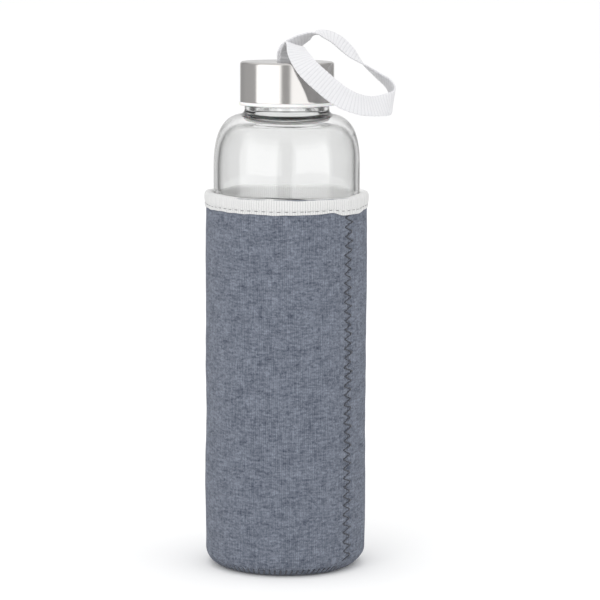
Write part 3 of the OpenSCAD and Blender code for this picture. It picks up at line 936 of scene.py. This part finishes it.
def sleeveShift(r, z, b, s):
    # how far the knit stands out from its plain shape: soft waves, the side seam, the base seam
    side = bearingGap(b, seamBearing) * facingR
    top = 1 - step01(z, bindingLow.z - 3 * mm, bindingLow.z + 1 * mm)
    low = step01(z, 3 * mm, 8 * mm)
    soft = ripple(b, z, 6, 22, 9, 31) * 0.16 * mm + ripple(b, z, 22, 90, 9, 32) * 0.05 * mm
    soft = soft * (0.35 + 0.65 * top) * step01(z, 0, 12 * mm)
    onSeam = low * top
    groove = 0.34 * bell(side, 0.6 * mm) + 0.34 * bell(side - zigzagAt(z, s), 0.6 * mm)
    swell = 0.14 * (bell(side - 3.6 * mm, 1.6 * mm) + bell(side + 3.6 * mm, 1.6 * mm))
    phase = (z - s["zigzagLow"]) / s["period"] * 2 * math.pi
    pull = 0.16 * (bell(side - s["zigzag"], 0.7 * mm) * (0.5 - 0.5 * np.cos(phase))
                   + bell(side + s["zigzag"], 0.7 * mm) * (0.5 + 0.5 * np.cos(phase)))
    seam = (swell - groove - pull) * mm * onSeam
    # base seam: the cloth bulges between stitches and is drawn in where they pass
    tilt = np.arctan2(r - s["seamR"], s["corner"] - z) / deg
    band = bell(tilt - 40, 16)
    wave = 0.5 + 0.5 * np.cos(s["baseCount"] * (b - 90 * deg) - s["slant"] * math.pi)
    scallop = wave * band
    holes = wave ** 3 * bell(tilt - s["baseTilt"][1], 6)
    turn = bearingGap(b, 0) / deg
    # the side seam's bulk draws the corner in below it
    cut = bell(turn - 66, 24) * bell(tilt - 48, 26)
    return soft + seam - (0.5 * scallop + 0.4 * holes + 0.85 * cut) * mm


def makeSleeveKnit(s):
    # base corner, wall and hem outside, then the inside, with the shift along the surface's normal
    r, top = facingR, facingHigh.z
    corner = arcPoints((s["seamR"], s["corner"]), s["corner"], -90, 0, 27)
    wall = resample(np.array([[r, s["corner"]], [r, bindingLow.z - 1 * mm]]),
                    s["rowStep"])[1:]
    hem = np.array([[r, bindingLow.z + 1 * mm], [r, top - 0.1 * mm], [r - 0.1 * mm, top]])
    inner = r - s["thick"]
    inside = np.vstack([
        [[inner, top], [inner, 80 * mm], [inner, s["corner"]]],
        arcPoints((s["seamR"], s["corner"]), s["corner"] - s["thick"], -20, -90, 5)])
    profile = np.vstack([corner, wall, hem, inside])
    outside = len(corner) + len(wall) + len(hem)
    b = sleeveBearings()
    rr, zz = profile[:, 0][:, None], profile[:, 1][:, None]
    shift = sleeveShift(rr, zz, b[None, :], s)
    tilt = np.clip(np.arctan2(rr - s["seamR"], s["corner"] - zz), 0, math.pi / 2)
    tilt = np.where(zz > s["corner"], math.pi / 2, tilt)
    shift[outside:] = 0
    shift = shift * np.clip(np.arange(len(profile)) / 3, 0, 1)[:, None]
    wide = rr + shift * np.sin(tilt)
    high = np.maximum(zz - shift * np.cos(tilt), 0)
    grid = np.stack([wide * np.sin(b), -wide * np.cos(b), high + 0 * b], -1)
    u = np.append(b, b[0] + 2 * math.pi) * r
    return gridPiece("sleeveKnit", grid, u, lengthAlong(np.vstack([profile, profile[:1]])),
                     wrapRows=True)


sleeveKnit = dress(makeSleeveKnit(sleeve), heatherKnit, "sleeve_facing", "sleeve")


def makeSleeveFoam():
    # the foam is drawn a little thinner than it is, so that it stays under every stitch
    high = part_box("sleeve_foam")[1]
    r, inner = high.x - sleeve["foamSkin"], liningHigh.x
    seam, corner = sleeve["seamR"], sleeve["corner"]
    outside = np.vstack([arcPoints((seam, corner), r - seam, -90, 0, 8),
                         [[r, high.z - 0.1 * mm], [r - 0.1 * mm, high.z]]])
    inside = np.vstack([
        resample(np.array([[inner, high.z], [inner, corner]]), 5 * mm),
        arcPoints((seam, corner), inner - seam, 0, -90, 8)])
    return lathe("sleeveFoam", np.vstack([outside, inside]), ringBearings(160, seamBearing), r)


dress(makeSleeveFoam(), foamRubber, "sleeve_foam", "sleeve")


def makeBasePanel(name, box):
    # round disc with eased edges, whose texture runs straight across it
    panelLow, panelHigh = box
    r = panelHigh.x
    k = 0.15 * mm
    low, high = panelLow.z, panelHigh.z
    dome = np.linspace(0.02, 0.985, 20) * r
    profile = np.vstack([
        np.stack([dome, low + 0 * dome], -1), arcPoints((r - k, low + k), k, -70, 0, 4),
        arcPoints((r - k, high - k), k, 0, 90, 4), [[r * 0.5, high], [r * 0.02, high]]])
    b = ringBearings(128)
    piece = lathe(name, profile, b, r, poles=True)
    points = np.zeros(len(piece.data.vertices) * 3)
    piece.data.vertices.foreach_get("co", points)
    loops = np.zeros(len(piece.data.loops), np.int32)
    piece.data.loops.foreach_get("vertex_index", loops)
    flat = points.reshape(-1, 3)[loops][:, :2]
    piece.data.uv_layers["flow"].data.foreach_set("uv", flat.astype(np.float32).ravel())
    return piece


dress(makeBasePanel("basePanel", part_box("base_facing")), heatherKnit, "base_facing", "sleeve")
dress(makeBasePanel("baseLining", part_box("base_lining")), liningKnit, "base_lining", "sleeve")


def makeSleeveLining():
    # plain cup between two radii, from the base seam up to the tape
    r = liningHigh.x
    inner = r - 0.45 * mm
    corner = sleeve["corner"] - 2.45 * mm
    seam = sleeve["seamR"]
    outside = np.vstack([arcPoints((seam, sleeve["corner"]), corner, -90, 0, 8),
                         [[r, liningHigh.z - 0.1 * mm], [r - 0.1 * mm, liningHigh.z]]])
    inside = np.vstack([
        resample(np.array([[inner, liningHigh.z], [inner, sleeve["corner"]]]), 3 * mm),
        arcPoints((seam, sleeve["corner"]), corner - 0.45 * mm, 0, -90, 8)])
    return lathe("sleeveLining", np.vstack([outside, inside]), ringBearings(192, seamBearing), r)


dress(makeSleeveLining(), liningKnit, "sleeve_lining", "sleeve")
print("sleeve made")

binding = {
    "thick": 0.4 * mm, "round": 1.5 * mm, "stitches": 67, "stitchUp": 1.4 * mm,
    "stitchL": 2 * mm, "columns": 804, "ribs": 256, "lapFrom": 34, "lapTo": 70,
}


def bindingEdge(b):
    # how far the tape's lower edge wanders: it dips beside the side seam, where its ends lap
    turn = bearingGap(b, 0) / deg
    start = binding["lapFrom"]
    dip = -1.0 * step01(turn, start, start + 10) * (1 - step01(turn, 56, 80))
    rise = 0.45 * bell(turn - 30, 7)
    return (dip + rise + 0.12 * ripple(b, 0, 30, 0, 9, 41)) * mm


def bindingSag(b):
    # the sleeve's soft mouth hangs a little lower at the front than at the back
    return -0.85 * mm * np.clip(np.cos(b), 0, 1)


def bindingOut(b, z):
    # how far the tape stands out: the lapped end, a puffed middle, ribs, and the stitched line
    turn = bearingGap(b, 0) / deg
    start, end = binding["lapFrom"], binding["lapTo"]
    lap = 0.3 * step01(turn, start, start + 1.2) * (1 - step01(turn, end - 4, end))
    height = z - bindingLow.z
    line = bell(height - binding["stitchUp"], 0.55 * mm)
    phase = b * binding["stitches"]
    holes = (0.5 - 0.5 * np.cos(phase)) ** 3
    # needle holes at the end of each stitch
    beside = np.abs((b * binding["stitches"] / (2 * math.pi)) % 1 - 0.5)
    pricks = bell(beside, 0.085) * bell(height - binding["stitchUp"], 0.3 * mm)
    puff = 0.22 * np.sin(np.clip((height - 1.6 * mm) / (5 * mm), 0, 1) * math.pi)
    ribs = 0.06 * np.cos(b * binding["ribs"])
    wander = 0.08 * ripple(b, z, 28, 120, 8, 42)
    return (lap + puff + ribs + wander - line * (0.16 + 0.26 * holes)
            - 0.6 * pricks) * mm


def makeBindingTape(s):
    # closed profile: down the front, over the top, down the back and up under the fold
    low, top, outer = bindingLow.z, bindingHigh.z, bindingR
    inside = liningHigh.x - 0.45 * mm
    k, t = s["round"], s["thick"]
    front = resample(np.array([[outer, low + 0.15 * mm], [outer, top - k]]), 0.3 * mm)
    over = np.vstack([arcPoints((outer - k, top - k), k, 8, 90, 10),
                      arcPoints((inside + k, top - k), k, 90, 172, 10)])
    back = resample(np.array([[inside, top - k], [inside, low + 0.1 * mm]]), 1.2 * mm)
    fold = top - 0.9 * mm
    under = np.array([[inside + t, low], [inside + t, top - k],
                      [inside + t + 0.3 * mm, fold], [outer - t - 0.3 * mm, fold],
                      [outer - t, top - k], [outer - t, low + 0.3 * mm],
                      [outer - t + 0.1 * mm, low], [outer - 0.15 * mm, low]])
    profile = np.vstack([front, over, back, under])
    b = ringBearings(s["columns"], seamBearing)[None, :]
    r, z = profile[:, 0][:, None], profile[:, 1][:, None]
    share = np.zeros((len(profile), 1))
    share[:len(front)] = 1
    share[len(front):len(front) + 20] = np.linspace(1, 0, 20)[:, None]
    share[-4:] = 1
    fall = 1 - step01(z, low + 0.2 * mm, low + 4 * mm)
    crown = bell(z - top, 1.6 * mm) * (0.18 * ripple(b, 0, 9, 0, 7, 43)
                                       + 0.05 * ripple(b, 0, 60, 0, 9, 44)) * mm
    wide = r + share * bindingOut(b, z)
    high = z + share * fall * bindingEdge(b) + crown + bindingSag(b)
    grid = np.stack([wide * np.sin(b), -wide * np.cos(b), high], -1)
    u = np.append(b[0], b[0, 0] + 2 * math.pi) * outer
    return gridPiece("bindingTape", grid, u, lengthAlong(np.vstack([profile, profile[:1]])),
                     wrapRows=True)


dress(makeBindingTape(binding), bindingTape, "sleeve_binding", "sleeve")


def makeBindingStitches(s):
    # short threads that lie in the tape between two holes
    t = np.linspace(0, 1, 8)
    mid = 2 * math.pi * np.arange(s["stitches"]) / s["stitches"]
    reach = s["stitchL"] / bindingR / 2
    b = mid[:, None] + (t[None, :] - 0.5) * 2 * reach
    z = bindingLow.z + s["stitchUp"] + 0 * b
    shape = np.sin(t * math.pi) ** 0.5 * 0.30 * mm - 0.26 * mm
    r = bindingR + bindingOut(b, z) + shape
    radius = 0.16 * mm * (0.75 + 0.25 * np.sin(t * math.pi))
    line = np.stack([r * np.sin(b), -r * np.cos(b),
                     z + 0.5 * bindingEdge(b) + bindingSag(b)], -1)
    return tubes("bindingStitches", line, radius)


dress(makeBindingStitches(binding), greyThread, "binding_stitches", "sleeve")


def makeSideThread(s):
    # each thread arches from one corner of the zigzag to the next and dives in at both
    count = s["stitches"]
    t = np.linspace(0, 1, 9)
    k = np.arange(count)
    startSide = np.where(k % 2 == 0, -1, 1)[:, None] * s["zigzag"]
    rng = np.random.default_rng(51)
    corner = rng.normal(0, 0.22 * mm, count + 1)
    slip = corner[:-1, None] * (1 - t) + corner[1:, None] * t
    side = startSide * (1 - 2 * t)[None, :] + slip
    z = s["zigzagLow"] + s["period"] / 2 * (k[:, None] + t[None, :]) + 0.6 * slip[::-1]
    b = seamBearing + side / facingR
    arch = np.sin(t * math.pi) ** 0.6
    inward = np.clip(s["corner"] - z, 0, None)
    r = s["seamR"] + np.sqrt(s["corner"] ** 2 - inward ** 2)
    r = r + sleeveShift(facingR + 0 * z, z, b, s) + (0.50 * arch - 0.22) * mm
    line = np.stack([r * np.sin(b), -r * np.cos(b), z], -1)
    return tubes("sideSeamThread", line, (0.48 - 0.21 * arch) * mm)


dress(makeSideThread(sleeve), darkThread, "side_seam_thread", "sleeve")


def makeBaseThread(s):
    # short threads side by side over the seam, each with a slight slant
    t = np.linspace(0, 1, 9)
    k = np.arange(s["baseCount"])
    low, high = s["baseTilt"]
    tilt = (low + (high - low) * t[None, :]) * deg + 0 * k[:, None]
    b = 90 * deg + 2 * math.pi * (k[:, None] + s["slant"] * t[None, :]) / s["baseCount"]
    arch = np.sin(t * math.pi) ** 0.6
    r0 = s["seamR"] + s["corner"] * np.sin(tilt)
    z0 = s["corner"] * (1 - np.cos(tilt))
    reach = s["corner"] + sleeveShift(r0, z0, b, s) + (0.30 * arch - 0.16) * mm
    r = s["seamR"] + reach * np.sin(tilt)
    z = np.maximum(s["corner"] - reach * np.cos(tilt), 0.25 * mm)
    line = np.stack([r * np.sin(b), -r * np.cos(b), z], -1)
    return tubes("baseSeamThread", line, (0.46 - 0.20 * arch) * mm)


dress(makeBaseThread(sleeve), darkThread, "base_seam_thread", "sleeve")
print("binding and threads made")

stage = {"size": 60.0, "floor": 0.93}


def makeFloor(s):
    # one large flat sheet that reflections and refractions don't see
    half = s["size"] / 2
    corners = np.array([[-half, -half, 0], [half, -half, 0], [half, half, 0], [-half, half, 0]])
    floor = addMesh("floor", corners, [[0, 1, 2, 3]])
    material, tree, shader = newMaterial("floorPaper")
    c = s["floor"]
    setSockets(tree, shader, {"Base Color": (c, c, c, 1), "Roughness": 0.9,
                              "Specular IOR Level": 0.0})
    floor.data.materials.append(material)
    floor.visible_glossy = False
    floor.visible_transmission = False


makeFloor(stage)

# brightness of the studio by bearing: 0 is the camera's side and + is to its right
studio = {
    "mirror": [(-180, 0.76), (-164, 0.76), (-152, 0.40), (-120, 0.55), (-83, 0.58), (-79, 1.9),
               (-18, 1.9), (-12, 0.52), (5, 0.52), (11, 1.6), (72, 1.6), (79, 0.5), (120, 0.5),
               (152, 0.40), (164, 0.76), (180, 0.76)],
    "through": [(-180, 1.0), (-158, 1.0), (-142, 0.10), (-82, 0.10), (-80, 1.9), (-17, 1.9),
                (-14, 0.25), (7, 0.25), (10, 1.6), (72, 1.6), (75, 0.10), (142, 0.10),
                (158, 1.0), (180, 1.0)],
    "overhead": 1.0,
    "soft": 1.06,
    "range": 2.0,
}


def addStops(tree, bearing, stops, top):
    ramp = put(tree, "ShaderNodeValToRGB", {0: remap(tree, bearing, -math.pi, math.pi)})
    elements = ramp.color_ramp.elements
    elements.remove(elements[-1])
    for k, (angle, level) in enumerate(stops):
        element = elements[0] if k == 0 else elements.new(angle / 360 + 0.5)
        element.position = angle / 360 + 0.5
        element.color = (level / top,) * 3 + (1,)
    return calc(tree, "MULTIPLY", ramp.outputs[0], top)


def makeWorld(s):
    world = bpy.data.worlds.new("studio")
    bpy.context.scene.world = world
    world.use_nodes = True
    tree = world.node_tree
    background = tree.nodes["Background"]
    way = put(tree, "ShaderNodeTexCoord").outputs["Generated"]
    split = put(tree, "ShaderNodeSeparateXYZ", {0: way})
    toward = calc(tree, "MULTIPLY", split.outputs[1], -1.0)
    bearing = calc(tree, "ARCTAN2", split.outputs[0], toward)
    path = put(tree, "ShaderNodeLightPath").outputs
    level = put(tree, "ShaderNodeMix", {0: path["Is Transmission Ray"],
                                        2: addStops(tree, bearing, s["mirror"], s["range"]),
                                        3: addStops(tree, bearing, s["through"], s["range"])})
    level = put(tree, "ShaderNodeMix", {0: remap(tree, split.outputs[2], 0.45, 0.75),
                                        2: level.outputs[0], 3: s["overhead"]})
    level = put(tree, "ShaderNodeMix", {0: path["Is Diffuse Ray"], 2: level.outputs[0],
                                        3: s["soft"]})
    level = put(tree, "ShaderNodeMix", {0: path["Is Camera Ray"], 2: level.outputs[0], 3: 1.0})
    tree.links.new(level.outputs[0], background.inputs["Strength"])
    background.inputs["Color"].default_value = (1, 1, 1, 1)


makeWorld(studio)

lights = [
    {"name": "top", "place": (0.0, -0.1, 1.6), "size": 1.8, "power": 3.0},
    {"name": "front", "place": (-0.9, -1.9, 1.3), "size": 1.4, "power": 9.0},
    {"name": "right", "place": (1.7, -0.9, 1.0), "size": 1.2, "power": 2.0},
]


def makeLight(s):
    data = bpy.data.lights.new(s["name"], "AREA")
    data.size = s["size"]
    data.energy = s["power"]
    lamp = bpy.data.objects.new(s["name"], data)
    place = Vector(s["place"])
    lamp.location = place
    lamp.rotation_mode = "QUATERNION"
    lamp.rotation_quaternion = (Vector((0, 0, 0.1)) - place).to_track_quat("-Z", "Y")
    lamp.visible_camera = False
    lamp.visible_glossy = False
    lamp.visible_transmission = False
    bpy.context.scene.collection.objects.link(lamp)


for lightSettings in lights:
    makeLight(lightSettings)

cameraSetup = {
    "place": (0.0, -1.196, 0.2707), "aim": (0.0060, 0.0, 0.1154), "roll": 0.005, "lens": 167.0,
}


def makeCamera(s):
    data = bpy.data.cameras.new("camera")
    data.lens = s["lens"]
    data.sensor_width = 36
    data.clip_end = 200
    camera = bpy.data.objects.new("camera", data)
    bpy.context.scene.collection.objects.link(camera)
    place = Vector(s["place"])
    turn = (Vector(s["aim"]) - place).to_track_quat("-Z", "Y")
    camera.location = place
    camera.rotation_mode = "QUATERNION"
    camera.rotation_quaternion = turn @ Quaternion((0, 0, 1), s["roll"])
    bpy.context.scene.camera = camera


makeCamera(cameraSetup)
bpy.context.scene.view_settings.view_transform = "Standard"
bpy.context.scene.view_settings.look = "None"
